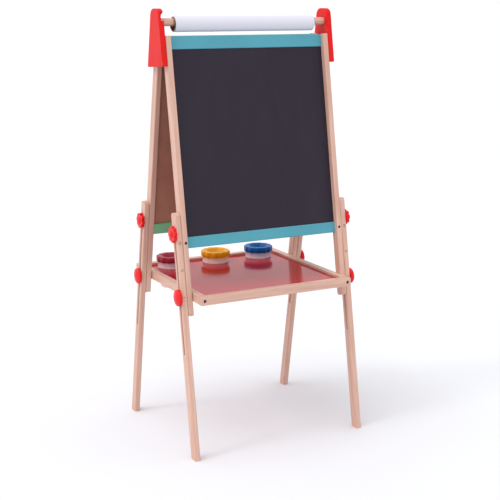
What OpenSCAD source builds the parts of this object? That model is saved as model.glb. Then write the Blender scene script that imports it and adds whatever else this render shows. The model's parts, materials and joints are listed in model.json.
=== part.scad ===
// Folding two-sided artist easel for children: two leaning wooden frames that meet
// under a pair of red head plates, four sliding legs locked by hand knobs, a tray
// with three paint pots between the frames and a paper roll on a lift-out dowel.
// Millimetres, +Z up. The origin is on the floor under the middle of the easel's
// outline, X runs along the boards and -Y is the chalkboard side. The modules draw
// the easel about the middle plane between its two frames, and centred() moves it.

/* [Overall] */
// Height from the floor to the top of the head plates
height = 1063.5; // [900:0.5:1300]
// Distance between the inner faces of the two posts of a frame
board_w = 418; // [340:1:510]
// Lean of each frame away from upright, in degrees
lean = 9.7; // [8:0.1:12]
// Distance between the centre lines of the two frames at the pivot height
pin_gap = 52.6; // [44:0.2:70]

/* [Posts] */
// Thickness of a post or leg, measured along the board
post_t = 14; // [11:0.5:18]
// Depth of a post or leg, measured across the frame
post_d = 25; // [22:0.5:30]
// Distance along the leg line from the floor to the lower end of a post
post_start = 350; // [290:1:370]
// Radius on the long edges of posts and legs
edge_r = 2.5; // [1:0.5:4]

/* [Rails and boards] */
// Thickness of a board rail
rail_t = 12; // [10:0.5:13]
// Height of the upper board rail
top_rail_h = 31; // [24:1:40]
// Height of the lower board rail
bottom_rail_h = 27; // [22:1:34]
// Distance along the leg line from the floor to the lower board rail
bottom_rail_s = 512; // [480:1:620]
// Thickness of the chalkboard and the whiteboard
board_t = 3.5; // [2.5:0.5:5]

/* [Legs] */
// Length of a sliding leg
leg_len = 600; // [585:1:700]
// Width of the slot in a leg
slot_w = 7; // [6.8:0.2:9]
// Distance along the leg line from the floor to the lower stud
stud_low = 397; // [380:1:440]
// Distance between the lower and the upper stud
stud_pitch = 152; // [130:1:170]
// Distance between two height settings
setting_step = 65; // [50:1:66]

/* [Head plates and paper roll] */
// Thickness of a head plate
plate_t = 14; // [12:0.5:18]
// Radius of the two upper corners of a head plate
plate_r = 18; // [10:0.5:20]
// Angle of the left plate's dowel slot above the horizontal, in degrees
seat_angle = 35; // [20:1:40]
// Diameter of the wooden dowel
dowel_d = 19; // [15:0.5:21]
// Length of the paper roll
roll_len = 381; // [300:1:420]
// Outer diameter of the paper roll
roll_d = 37.6; // [34:0.2:46]
// Inner diameter of the cardboard core
core_bore = 28.4; // [26:0.2:29]

/* [Tray] */
// Length of the tray from front to rear
tray_len = 405; // [360:1:500]
// Width of a tray rail
tray_rail_w = 18; // [16:0.5:24]
// Height of a tray rail
tray_rail_h = 21; // [18:0.5:26]
// Distance from the front end of the tray to its pivot
tray_front = 60; // [50:1:75]

/* [Paint pots] */
// Distance between two paint pots
pot_pitch = 131; // [110:1:150]
// Outer diameter of the barrel of a cup
cup_d = 70; // [60:1:76]
// Outer diameter of the part of a cup that hangs below the tray panel
cup_low_d = 56; // [46:1:60]
// Outer diameter of a lid
lid_d = 78; // [76:1:94]

/* [Knobs] */
// Outer diameter of a knob
knob_d = 40; // [33:1:46]
// Diameter of a stud
stud_d = 6; // [5:0.5:6]

/* [Hidden] */
$fn = 64;
small = 0.01;           // lets a cutting tool run past the face it opens
slide_gap = 0.4;        // air between flat faces that move on each other
run_gap = 0.05;         // radial clearance of a pin or stud in its bore
slot_play = 0.5;        // least room across a stud in the slot of a leg
slot_wide = max(slot_w, stud_d + slot_play);

// Frame geometry. A frame's own axes are X, u (depth, 0 at its outer face) and s
// (distance along its outer face from the floor).
mid_u = post_d / 2;
plate_above_pivot = 95.5;
plate_below_pivot = 38;
plate_rear_drop = 5;                  // the rear lower corner is this much lower still
post_above_pivot = 32;
pivot_z = height - plate_above_pivot;
pivot_s = (pivot_z + mid_u * sin(lean)) / cos(lean);
post_end = pivot_s + post_above_pivot;
half_spread = pin_gap / 2 + mid_u / cos(lean) + pivot_z * tan(lean);
in_x = board_w / 2;                   // inner face of a post
post_x = in_x + post_t;               // outer face of a post
side_x = post_x + slide_gap;          // inner face of a leg or head plate
leg_x = side_x + post_t;              // outer face of a leg
post_foot_r = 9;                      // round on the lower end of a post
post_top_r = 3;                       // round on the upper end of a post
leg_top_r = 11;                       // round on the upper end of a leg

// Rails, boards and their joints
rail_recess = 12;                     // outer face of a rail behind that of the post
rail_edge_r = 2;
tenon_t = 7;
tenon_l = 10;
tenon_inset = 4;                      // the tenon is this much lower than its rail
tenon_u = rail_recess + (rail_t - tenon_t) / 2;
board_u = rail_recess + 2.5;          // outer face of a board
board_edge = 4;                       // board edge held in the grooves
groove_fit = 0.1;
top_rail_s = post_end - top_rail_h;
board_lo = bottom_rail_s + bottom_rail_h;
board_hi = top_rail_s;
rail_screw_x = in_x + 6;
rail_screw_l = 16;
rail_screw_sunk = 1.5;

// Legs and studs
stud_high = stud_low + stud_pitch;
leg_travel = 2 * setting_step + 5;
slot_end_gap = 1;
slot_low = stud_low - leg_travel - slot_end_gap;
slot_high = stud_high + slot_end_gap;
stud_hole_d = stud_d + 1;
insert_d = 9;
insert_l = 9;
mark_w = 7;
mark_h = 1.2;
mark_depth = 0.4;
mark_pitch = 3;

// Head plates
seat_gap = 0.5;
seat_r = dowel_d / 2 + seat_gap;
seat_depth = 8;
socket_gap = 0.7;                     // lets the dowel tilt in the right plate's socket
seat_y = -5;
seat_z = height - 31.9;
seat_run = 60;                        // length of the slot tool, past the plate's edge
plate_foot_r = 4;
pivot_y = pin_gap / 2;
pin_d = 8;
pin_in_post = post_t - board_edge - 1;    // pins and screws stop short of the board
head_d = 13;                          // countersunk head of pins and plate screws
head_h = 4;
plate_screw_d = 5;
plate_dowel_d = 6;
plate_dowel_l = 16;
plate_dowel_drop = 22;                // below the pivot height

// Paper roll
core_wall = 1.8;
hang_gap = 0.3;
roll_z = seat_z - (core_bore - dowel_d) / 2 + hang_gap;
dowel_play = 1.1;                     // lets the tilted dowel clear the bottom of its socket
dowel_half = side_x + seat_depth - dowel_play;
core_over = 2;                        // core sticks out past the paper on each side
dowel_chamfer = 1.5;

// Tray
tray_gap = 1;
tray_x = in_x - tray_gap;
tray_piv_y = -half_spread + stud_low * sin(lean) + mid_u * cos(lean);
tray_piv_z = stud_low * cos(lean) - mid_u * sin(lean);
tray_y0 = tray_piv_y - tray_front;
tray_y1 = tray_y0 + tray_len;
tray_z0 = tray_piv_z - tray_rail_h / 2;
outline_y = (half_spread - tray_y1) / 2;
panel_drop = 6;
panel_t = 5;
panel_z = tray_z0 + tray_rail_h - panel_drop;
panel_edge = 5;
tray_edge_r = 1.5;
tray_insert_l = 11;
tray_screw_d = 4.5;
tray_screw_l = 34;
tray_screw_sunk = 4;
tray_screw_head_d = 8;
tray_screw_x = tray_x - tray_rail_w / 2;

// Paint pots: heights are above the tray panel
cup_wall = 1.8;
cup_below = 54;
cup_rest = 0.2;
cup_top = 28;
cup_foot_r = 5;
lid_low = 16;
lid_top = 31;
lid_edge_r = 2.5;
lid_plate = 2.5;
lid_gap = 0.4;
lid_skirt_t = 1.8;                    // least wall of the skirt round a cup
skirt_r = cup_d / 2 + lid_gap;
lid_r = max(lid_d / 2, skirt_r + lid_skirt_t);
lid_over_rail = 2;                    // a lid reaches this far over the tray's rear rail
cup_to_rail = 1;                      // least air between a cup and the rear rail
pot_y = tray_y1 - tray_rail_w - max(lid_r - lid_over_rail, cup_d / 2 + cup_to_rail);
funnel_r = 25;
funnel_tip_r = 7;
funnel_tip_z = 8;
funnel_wall = 1.8;
hole_gap = 1;

// Knobs
knob_rim = 8;
knob_top = 12;
knob_edge_r = 2;
knob_socket = 6;                      // depth of the stud in its knob
lobes = 8;
lobe_r = knob_d / 9;
hub_r = knob_d / 4;
hub_round = 3;
knob_x = leg_x + slide_gap;

red = "#e8423f";
teal = "#63a9ba";
green = "#7fb08a";
wood = "#e6c2a8";

// ---- places ----

// A frame's own axes (X, u, s) to the front frame's place
module in_front_frame() {
    translate([0, -half_spread, 0]) rotate([-lean, 0, 0]) children();
}

// The rear frame is the front frame mirrored across the middle plane
module in_rear_frame() {
    at_rear() in_front_frame() children();
}

// A piece drawn for the front frame, moved to the rear one
module at_rear() {
    mirror([0, 1, 0]) children();
}

// From the middle plane between the frames to the middle of the whole outline
module centred() {
    translate([0, outline_y, 0]) children();
}

// Both sides of the easel from a shape drawn on the right
module both_sides() {
    children();
    mirror([1, 0, 0]) children();
}

module left_side() {
    mirror([1, 0, 0]) children();
}

// ---- basic shapes ----

// Rectangle from the origin with four round corners
module round_rect(w, d, r) {
    translate([r, 0]) square([w - 2 * r, d]);
    translate([0, r]) square([w, d - 2 * r]);
    for (x = [r, w - r], y = [r, d - r])
        translate([x, y]) circle(r);
}

// Rectangle of width w from y0 to y1, with its lower and upper corners rounded apart
module end_rounded(w, y0, y1, r_low, r_high) {
    translate([0, y0 + r_low]) square([w, y1 - y0 - r_low - r_high]);
    translate([r_low, y0]) square([w - 2 * r_low, 2 * r_low]);
    translate([r_high, y1 - 2 * r_high]) square([w - 2 * r_high, 2 * r_high]);
    for (x = [r_low, w - r_low]) translate([x, y0 + r_low]) circle(r_low);
    for (x = [r_high, w - r_high]) translate([x, y1 - r_high]) circle(r_high);
}

// Extrudes an outline drawn in Y and Z along +X
module along_x(length) {
    rotate([90, 0, 90]) linear_extrude(length) children();
}

// Cylinder along +X from x0 to x1
module rod_x(d, x0, x1) {
    translate([x0, 0, 0]) rotate([0, 90, 0]) cylinder(d = d, h = x1 - x0);
}

// Screw along +Z with its countersunk head at the top, drawn from z = 0 downwards
module screw(shank_d, length, screw_head_d, cone_h) {
    translate([0, 0, -length]) cylinder(d = shank_d, h = length - cone_h + small);
    translate([0, 0, -cone_h]) cylinder(d1 = shank_d, d2 = screw_head_d, h = cone_h);
}

// ---- head plates ----

// Centre of the round on a lower corner of a head plate: front is -1, rear is 1
function plate_foot_z(side) =
    pivot_z - plate_below_pivot - (side > 0 ? plate_rear_drop : 0) + plate_foot_r;
function plate_foot_y(side) =
    side * (half_spread - plate_foot_z(side) * tan(lean) - plate_foot_r / cos(lean));

// Outline in Y and Z: the sloping edges lie on the outer faces of both frames
module plate_outline() {
    corner_z = height - plate_r;
    corner_y = half_spread - corner_z * tan(lean) - plate_r / cos(lean);
    // Step from the centre of a round to where it meets a sloping edge
    out = [cos(lean), sin(lean)];
    polygon([
        [plate_foot_y(-1), plate_foot_z(-1) - plate_foot_r],
        [plate_foot_y(1), plate_foot_z(1) - plate_foot_r],
        [plate_foot_y(1), plate_foot_z(1)] + plate_foot_r * out,
        [corner_y, corner_z] + plate_r * out,
        [corner_y, height],
        [-corner_y, height],
        [-corner_y, corner_z] + plate_r * [-out[0], out[1]],
        [plate_foot_y(-1), plate_foot_z(-1)] + plate_foot_r * [-out[0], out[1]]
    ]);
    for (side = [-1, 1]) {
        translate([side * corner_y, corner_z]) circle(plate_r);
        translate([plate_foot_y(side), plate_foot_z(side)]) circle(plate_foot_r);
    }
}

// Blind slot that holds the dowel's left end and opens to the front and upwards
module slot_outline() {
    translate([seat_y, seat_z]) {
        circle(seat_r);
        rotate(180 - seat_angle) translate([0, -seat_r]) square([seat_run, 2 * seat_r]);
    }
}

// Blind round socket that holds the dowel's right end
module socket_outline() {
    translate([seat_y, seat_z]) circle(dowel_d / 2 + socket_gap);
}

// Head plate on the right. Its child is the outline of the dowel's blind seat.
module bracket() {
    color(red) difference() {
        translate([side_x, 0, 0]) along_x(plate_t) plate_outline();
        translate([side_x - small, 0, 0]) along_x(seat_depth) children();
        for (side = [-1, 1]) plate_hole(side * pivot_y, side < 0 ? plate_screw_d : pin_d);
        translate([0, -plate_dowel_y(), pivot_z - plate_dowel_drop])
            rod_x(plate_dowel_d, side_x - small, side_x + plate_dowel_l / 2);
    }
}

// Through hole with a countersink in the outer face of a head plate
module plate_hole(y, d) {
    translate([0, y, pivot_z]) {
        rod_x(d, side_x - small, side_x + plate_t + small);
        translate([side_x + plate_t - head_h, 0, 0]) rotate([0, 90, 0])
            cylinder(d1 = d, d2 = head_d, h = head_h + small);
    }
}

// Distance from the middle plane to a frame's centre line at the plate dowel
function plate_dowel_y() = pivot_y + plate_dowel_drop * tan(lean);

// Pin or screw whose head is flush with the outer face of a head plate
module plate_pin(y, d, in_post) {
    translate([side_x + plate_t, y, pivot_z]) rotate([0, 90, 0])
        screw(d, plate_t + slide_gap + in_post, head_d, head_h);
}

module bracket_screws() {
    color("dimgray") both_sides() plate_pin(-pivot_y, plate_screw_d, pin_in_post);
}

module pivot_pins() {
    color("silver") both_sides() plate_pin(pivot_y, pin_d, pin_in_post);
}

module bracket_dowels() {
    color(wood) both_sides()
        translate([0, -plate_dowel_y(), pivot_z - plate_dowel_drop])
            rod_x(plate_dowel_d, post_x - plate_dowel_l / 2, side_x + plate_dowel_l / 2);
}

// ---- frames, drawn on the right in the frame's own axes ----

module tenon_at(s0, h, fit) {
    translate([in_x - small, tenon_u - fit, s0 + tenon_inset - fit])
        cube([tenon_l + fit + small, tenon_t + 2 * fit, h - 2 * tenon_inset + 2 * fit]);
}

// Hole for the screw that pins the lower rail's tenon in its post
module rail_screw_at(s) {
    translate([rail_screw_x, rail_screw_sunk, s]) rotate([90, 0, 0])
        screw(3.5, rail_screw_l, 7, 3);
}

module post_blank() {
    intersection() {
        translate([in_x, 0, post_start])
            linear_extrude(post_end - post_start) round_rect(post_t, post_d, edge_r);
        translate([in_x, 0, 0]) along_x(post_t)
            end_rounded(post_d, post_start, post_end, post_foot_r, post_top_r);
    }
}

// What both posts of both frames share
module post() {
    difference() {
        post_blank();
        tenon_at(bottom_rail_s, bottom_rail_h, groove_fit);
        tenon_at(top_rail_s, top_rail_h, groove_fit);
        translate([in_x - small, board_u - groove_fit, board_lo - board_edge])
            cube([board_edge + groove_fit, board_t + 2 * groove_fit,
                  board_hi - board_lo + 2 * board_edge]);
        translate([0, mid_u, stud_low]) rod_x(stud_hole_d, in_x - small, post_x + small);
        translate([0, mid_u, stud_high])
            rod_x(insert_d, post_x - insert_l, post_x + small);
        rail_screw_at(bottom_rail_s + bottom_rail_h / 2);
        translate([rail_screw_x, rail_screw_sunk, bottom_rail_s + bottom_rail_h / 2])
            rotate([90, 0, 0]) cylinder(d = 7, h = rail_screw_sunk + small);
    }
}

module front_post() {
    color(wood) difference() {
        in_front_frame() post();
        translate([0, -pivot_y, pivot_z])
            rod_x(plate_screw_d, post_x - pin_in_post, post_x + small);
        translate([0, -plate_dowel_y(), pivot_z - plate_dowel_drop])
            rod_x(plate_dowel_d, post_x - plate_dowel_l / 2, post_x + small);
    }
}

module rear_post() {
    color(wood) difference() {
        in_rear_frame() post();
        translate([0, pivot_y, pivot_z])
            rod_x(pin_d + 2 * run_gap, post_x - pin_in_post - slide_gap, post_x + small);
    }
}

// Board rail across the frame with a tenon at each end and a groove for the board
module rail(s0, h, groove_s) {
    difference() {
        union() {
            translate([-in_x, rail_recess, s0]) along_x(board_w)
                round_rect(rail_t, h, rail_edge_r);
            both_sides() tenon_at(s0, h, 0);
        }
        translate([-in_x - tenon_l - small, board_u - groove_fit, groove_s])
            cube([board_w + 2 * tenon_l + 2 * small, board_t + 2 * groove_fit, board_edge]);
    }
}

module bottom_rail(tint) {
    color(tint) difference() {
        rail(bottom_rail_s, bottom_rail_h, board_lo - board_edge + small);
        both_sides() rail_screw_at(bottom_rail_s + bottom_rail_h / 2);
    }
}

module top_rail(tint) {
    color(tint) rail(top_rail_s, top_rail_h, board_hi - small);
}

// Board held in the grooves of both rails and both posts
module board(tint) {
    color(tint) translate([-in_x - board_edge, board_u, board_lo - board_edge + groove_fit])
        cube([board_w + 2 * board_edge, board_t,
              board_hi - board_lo + 2 * board_edge - 2 * groove_fit]);
}

module rail_screws() {
    color("#4a3a30") both_sides() rail_screw_at(bottom_rail_s + bottom_rail_h / 2);
}

// Threaded insert along X whose mouth is at x
module insert(x, length) {
    difference() {
        rod_x(insert_d, x - length, x);
        rod_x(stud_d + 2 * run_gap, x - length - small, x + small);
    }
}

module post_inserts() {
    color("goldenrod") both_sides() translate([0, mid_u, stud_high]) insert(post_x, insert_l);
}

// ---- sliding legs ----

// Tally marks on the outer face: one, two and three strokes
module setting_marks() {
    for (k = [0:2], stroke = [0:k])
        translate([side_x + (post_t - mark_w) / 2, -small,
                   stud_low + k * setting_step + (stroke - k / 2) * mark_pitch - mark_h / 2])
            cube([mark_w, mark_depth + small, mark_h]);
}

module leg_blank() {
    intersection() {
        translate([side_x, 0, -post_d])
            linear_extrude(leg_len + post_d) round_rect(post_t, post_d, edge_r);
        translate([side_x, 0, 0]) along_x(post_t)
            end_rounded(post_d, -post_d, leg_len, edge_r, leg_top_r);
    }
}

// Slot along the leg, cut through along X
module leg_slot() {
    translate([side_x - small, 0, 0]) along_x(post_t + 2 * small) {
        translate([mid_u - slot_wide / 2, slot_low]) square([slot_wide, slot_high - slot_low]);
        for (s = [slot_low, slot_high]) translate([mid_u, s]) circle(d = slot_wide);
    }
}

// Leg with its foot cut flat to the floor
module leg() {
    difference() {
        in_front_frame() difference() {
            leg_blank();
            leg_slot();
            setting_marks();
        }
        translate([0, -half_spread - post_d, -2 * post_d])
            cube([2 * leg_x, 4 * post_d, 2 * post_d]);
    }
}

// ---- knobs and studs, drawn along +X on the right ----

// Revolved blank of a knob: rim with rounded edges, along +Z
module knob_blank(r, h) {
    rotate_extrude() {
        translate([0, 0]) square([r - knob_edge_r, h]);
        translate([0, knob_edge_r]) square([r, h - 2 * knob_edge_r]);
        for (z = [knob_edge_r, h - knob_edge_r])
            translate([r - knob_edge_r, z]) circle(knob_edge_r);
    }
}

// Ball cap of radius r and height h, along +Z from z = 0
module cap(r, h) {
    ball = (r * r + h * h) / (2 * h);
    rotate_extrude() intersection() {
        translate([0, h - ball]) circle(ball);
        square([r, h]);
    }
}

// Upper knob: eight lobes round a domed hub
module lobed_knob() {
    r = knob_d / 2;
    intersection() {
        knob_blank(r, knob_rim);
        linear_extrude(knob_rim) {
            circle(r - 0.8 * lobe_r);
            for (k = [0:lobes - 1]) rotate(k * 360 / lobes)
                translate([r - lobe_r, 0]) circle(lobe_r);
        }
    }
    translate([0, 0, knob_rim - small]) cap(hub_r, knob_top - knob_rim);
}

// Lower knob: smooth rim and one shallow dome
module domed_knob() {
    knob_blank(knob_d / 2, knob_rim);
    translate([0, 0, knob_rim - small]) cap(knob_d / 2 - knob_edge_r, knob_top - knob_rim);
}

module knob_at(s) {
    in_front_frame() translate([knob_x, mid_u, s]) rotate([0, 90, 0]) difference() {
        children();
        translate([0, 0, -small]) cylinder(d = stud_d, h = knob_socket);
    }
}

module upper_knob() {
    color(red) knob_at(stud_high) lobed_knob();
}

module lower_knob() {
    color(red) knob_at(stud_low) domed_knob();
}

module stud(s, end_x) {
    color("silver") in_front_frame() translate([0, mid_u, s])
        rod_x(stud_d, end_x, knob_x + knob_socket - 2 * small);
}

module upper_stud() {
    stud(stud_high, post_x - insert_l + 1);
}

module lower_front_stud() {
    stud(stud_low, tray_x - tray_insert_l + 1);
}

// The rear lower studs are drawn backed out of the tray, flush inside their posts
module lower_rear_stud() {
    stud(stud_low, in_x + 1);
}

// ---- tray ----

module tray_groove() {
    translate([-tray_x + tray_rail_w - panel_edge - groove_fit,
               tray_y0 + tray_rail_w - panel_edge - groove_fit,
               panel_z - panel_t - groove_fit])
        cube([2 * (tray_x - tray_rail_w + panel_edge + groove_fit),
              tray_len - 2 * (tray_rail_w - panel_edge - groove_fit),
              panel_t + 2 * groove_fit]);
}

// Screw through a cross rail into the end of a side rail, at the front on the right
module tray_screw() {
    translate([tray_screw_x, tray_y0 + tray_screw_sunk, tray_piv_z]) rotate([90, 0, 0])
        screw(tray_screw_d, tray_screw_l, tray_screw_head_d, 3.5);
}

module at_rear_of_tray() {
    translate([0, tray_y0 + tray_y1, 0]) mirror([0, 1, 0]) children();
}

module tray_screws() {
    color("dimgray") both_sides() {
        tray_screw();
        at_rear_of_tray() tray_screw();
    }
}

// Holes of a cross rail: the screws and the sunk mouths above their heads
module tray_screw_holes() {
    both_sides() {
        tray_screw();
        translate([tray_screw_x, tray_y0 + tray_screw_sunk, tray_piv_z])
            rotate([90, 0, 0]) cylinder(d = tray_screw_head_d, h = tray_screw_sunk + small);
    }
}

module cross_rail() {
    color(wood) difference() {
        translate([-tray_x, tray_y0, tray_z0]) along_x(2 * tray_x)
            round_rect(tray_rail_w, tray_rail_h, tray_edge_r);
        tray_screw_holes();
        tray_groove();
    }
}

module tray_rear_rail() {
    at_rear_of_tray() cross_rail();
}

// Distance between the tray's pivot and the sockets of the rear studs
stud_span = -2 * tray_piv_y;

module side_rail() {
    color(wood) difference() {
        translate([tray_x - tray_rail_w, tray_y1 - tray_rail_w, tray_z0])
            rotate([90, 0, 0]) linear_extrude(tray_len - 2 * tray_rail_w)
                round_rect(tray_rail_w, tray_rail_h, tray_edge_r);
        tray_groove();
        tray_screw();
        at_rear_of_tray() tray_screw();
        for (y = [0, stud_span])
            translate([0, tray_piv_y + y, tray_piv_z])
                rod_x(insert_d, tray_x - tray_insert_l, tray_x + small);
    }
}

module tray_inserts() {
    color("goldenrod") both_sides() for (y = [0, stud_span])
        translate([0, tray_piv_y + y, tray_piv_z]) insert(tray_x, tray_insert_l);
}

module tray_panel() {
    color("#a8404c") difference() {
        translate([-tray_x + tray_rail_w - panel_edge,
                   tray_y0 + tray_rail_w - panel_edge, panel_z - panel_t])
            cube([2 * (tray_x - tray_rail_w + panel_edge),
                  tray_len - 2 * (tray_rail_w - panel_edge), panel_t]);
        for (k = [-1:1])
            translate([k * pot_pitch, pot_y, panel_z - panel_t - small])
                cylinder(d = cup_low_d + 2 * hole_gap, h = panel_t + 2 * small);
    }
}

// ---- paint pots, drawn about their own axis with z = 0 on the tray panel ----

module pot_at(k) {
    translate([k * pot_pitch, pot_y, panel_z]) children();
}

// Half section of a cup: a foot that drops through the panel and a wider barrel
module cup_section() {
    low_r = cup_low_d / 2;
    top_r = cup_d / 2;
    difference() {
        union() {
            translate([0, -cup_below + cup_foot_r])
                square([low_r, cup_below + cup_rest + cup_wall - cup_foot_r]);
            translate([0, -cup_below]) square([low_r - cup_foot_r, cup_foot_r + small]);
            translate([low_r - cup_foot_r, -cup_below + cup_foot_r]) circle(cup_foot_r);
            translate([0, cup_rest]) square([top_r, cup_top - cup_rest]);
        }
        translate([0, -cup_below + cup_wall])
            square([low_r - cup_wall, cup_below + cup_top]);
        translate([0, cup_rest + cup_wall]) square([top_r - cup_wall, cup_top]);
        translate([-2 * cup_foot_r, -2 * cup_below]) square([2 * cup_foot_r, 4 * cup_below]);
    }
}

module cup(k) {
    color("#e6e1e6") pot_at(k) rotate_extrude() cup_section();
}

// Half section of a lid: a skirt round the cup, a flat rim and a funnel in the middle
module lid_section() {
    r = lid_r;
    under = lid_top - lid_plate;
    difference() {
        union() {
            translate([funnel_r, lid_low]) square([r - funnel_r, lid_top - lid_edge_r - lid_low]);
            translate([funnel_r, under]) square([r - lid_edge_r - funnel_r, lid_plate]);
            translate([r - lid_edge_r, lid_top - lid_edge_r]) circle(lid_edge_r);
        }
        translate([0, lid_low - small]) square([skirt_r, under - lid_low]);
    }
    polygon([
        [funnel_r, lid_top], [funnel_tip_r, funnel_tip_z],
        [funnel_tip_r + funnel_wall, funnel_tip_z], [funnel_r + funnel_wall + small, under],
        [funnel_r + funnel_wall, lid_top]
    ]);
}

module lid(k, tint) {
    color(tint) pot_at(k) rotate_extrude() lid_section();
}

// ---- dowel and paper roll ----

module dowel() {
    color(wood) translate([0, seat_y, seat_z]) {
        rod_x(dowel_d, -dowel_half + dowel_chamfer, dowel_half - dowel_chamfer);
        both_sides() translate([dowel_half - dowel_chamfer - small, 0, 0]) rotate([0, 90, 0])
            cylinder(d1 = dowel_d, d2 = dowel_d - 2 * dowel_chamfer, h = dowel_chamfer);
    }
}

module tube_x(outer_d, inner_d, half) {
    difference() {
        rod_x(outer_d, -half, half);
        rod_x(inner_d, -half - small, half + small);
    }
}

module paper_core() {
    color("#5a4438") translate([0, seat_y, roll_z])
        tube_x(core_bore + 2 * core_wall, core_bore, roll_len / 2 + core_over);
}

module paper_roll() {
    color("#f0f0f4") translate([0, seat_y, roll_z])
        tube_x(roll_d, core_bore + 2 * core_wall, roll_len / 2);
}

// ---- every node ----

centred() left_side() bracket() slot_outline();  // bracket_left
centred() bracket() socket_outline();  // bracket_right
centred() bracket_screws();
centred() bracket_dowels();
centred() pivot_pins();
centred() left_side() front_post();  // front_post_left
centred() front_post();  // front_post_right
centred() in_front_frame() top_rail(teal);  // front_top_rail
centred() in_front_frame() bottom_rail(teal);  // front_bottom_rail
centred() in_front_frame() board("#37343f");  // chalkboard
centred() in_front_frame() rail_screws();  // front_rail_screws
centred() in_front_frame() post_inserts();  // front_post_inserts
centred() left_side() rear_post();  // rear_post_left
centred() rear_post();  // rear_post_right
centred() in_rear_frame() top_rail(green);  // rear_top_rail
centred() in_rear_frame() bottom_rail(green);  // rear_bottom_rail
centred() in_rear_frame() board("#7a5344");  // whiteboard
centred() in_rear_frame() rail_screws();  // rear_rail_screws
centred() in_rear_frame() post_inserts();  // rear_post_inserts
centred() color(wood) left_side() leg();  // leg_front_left
centred() color(wood) leg();  // leg_front_right
centred() color(wood) at_rear() left_side() leg();  // leg_rear_left
centred() color(wood) at_rear() leg();  // leg_rear_right
centred() left_side() upper_knob();  // knob_upper_front_left
centred() upper_knob();  // knob_upper_front_right
centred() at_rear() left_side() upper_knob();  // knob_upper_rear_left
centred() at_rear() upper_knob();  // knob_upper_rear_right
centred() left_side() lower_knob();  // knob_lower_front_left
centred() lower_knob();  // knob_lower_front_right
centred() at_rear() left_side() lower_knob();  // knob_lower_rear_left
centred() at_rear() lower_knob();  // knob_lower_rear_right
centred() left_side() upper_stud();  // stud_upper_front_left
centred() upper_stud();  // stud_upper_front_right
centred() at_rear() left_side() upper_stud();  // stud_upper_rear_left
centred() at_rear() upper_stud();  // stud_upper_rear_right
centred() left_side() lower_front_stud();  // stud_lower_front_left
centred() lower_front_stud();  // stud_lower_front_right
centred() at_rear() left_side() lower_rear_stud();  // stud_lower_rear_left
centred() at_rear() lower_rear_stud();  // stud_lower_rear_right
centred() cross_rail();  // tray_front_rail
centred() tray_rear_rail();
centred() left_side() side_rail();  // tray_left_rail
centred() side_rail();  // tray_right_rail
centred() tray_panel();
centred() tray_screws();
centred() tray_inserts();
centred() cup(-1);  // cup_left
centred() cup(0);  // cup_middle
centred() cup(1);  // cup_right
centred() lid(-1, "#a02c3c");  // lid_left
centred() lid(0, "#f0a81e");  // lid_middle
centred() lid(1, "#125a9a");  // lid_right
centred() dowel();
centred() paper_core();
centred() paper_roll();
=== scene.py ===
"""Looks of a folding two-sided easel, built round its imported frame.

Units are metres in the frame's own axes: +Z up, -Y the chalkboard side, +X to the
right as seen from the chalkboard.
"""

import json
import math
import random

import bmesh
import bpy
from bpy.props import FloatProperty, FloatVectorProperty, PointerProperty
from bpy.types import Operator, Panel, PropertyGroup
from mathutils import Matrix, Vector

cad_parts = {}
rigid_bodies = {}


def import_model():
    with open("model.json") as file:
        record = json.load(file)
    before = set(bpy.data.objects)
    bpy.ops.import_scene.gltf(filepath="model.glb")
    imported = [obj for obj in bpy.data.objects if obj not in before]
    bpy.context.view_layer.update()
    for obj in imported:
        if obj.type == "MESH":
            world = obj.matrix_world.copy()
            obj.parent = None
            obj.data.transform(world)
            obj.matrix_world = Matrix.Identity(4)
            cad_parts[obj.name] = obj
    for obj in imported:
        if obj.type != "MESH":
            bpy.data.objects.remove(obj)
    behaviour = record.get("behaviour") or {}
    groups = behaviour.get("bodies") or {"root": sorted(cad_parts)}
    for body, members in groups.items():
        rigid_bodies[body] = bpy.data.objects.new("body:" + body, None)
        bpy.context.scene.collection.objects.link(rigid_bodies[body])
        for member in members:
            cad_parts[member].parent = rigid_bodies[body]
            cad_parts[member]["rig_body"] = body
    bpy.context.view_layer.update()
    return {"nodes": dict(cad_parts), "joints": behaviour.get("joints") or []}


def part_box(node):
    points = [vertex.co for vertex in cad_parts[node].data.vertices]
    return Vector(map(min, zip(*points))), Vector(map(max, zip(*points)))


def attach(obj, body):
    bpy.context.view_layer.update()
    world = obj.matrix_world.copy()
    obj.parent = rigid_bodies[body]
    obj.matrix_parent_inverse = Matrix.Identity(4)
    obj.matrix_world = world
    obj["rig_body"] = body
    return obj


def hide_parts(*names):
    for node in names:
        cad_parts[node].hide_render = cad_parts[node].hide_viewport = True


bl_info = {
    "name": "Folding Easel",
    "version": (1, 0, 0),
    "blender": (4, 5, 0),
    "location": "View3D > Sidebar > Easel",
    "description": "Finishes the pieces of a folding two-sided easel and sets its stage",
    "category": "Object",
}

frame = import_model()

MM = 0.001
ACROSS = Vector((1, 0, 0))
DEEP = Vector((0, 1, 0))
UP = Vector((0, 0, 1))

# Meshes
MERGE = 0.002 * MM              # vertices closer than this are one
FLAT = math.radians(0.6)        # triangles flatter than this join into one face
CORNER = math.radians(38)       # edges sharper than this are softened
SHARP = math.radians(32)        # edges sharper than this are drawn sharp
FACING = 0.7                    # a face whose normal agrees this well looks that way
GRAIN_REACH = 20                # metres of wood in which a piece's grain may start
GRAIN_SEED = random.Random(11)

# Head plates
PIN_RIM = 9 * MM                # edges this near a pin's axis belong to its hole
PLATE_SKIN = 0.2 * MM           # pin faces this near a plate's outer face are painted

# Screws: height of the head and radius of the shank
RAIL_SCREW = (3 * MM, 1.75 * MM)
TRAY_SCREW = (3.5 * MM, 2.25 * MM)

# Tally marks
TALLIES = 3
TALLY_SUNK = 0.2 * MM           # middle of a burnt stroke below the face of its leg

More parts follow.
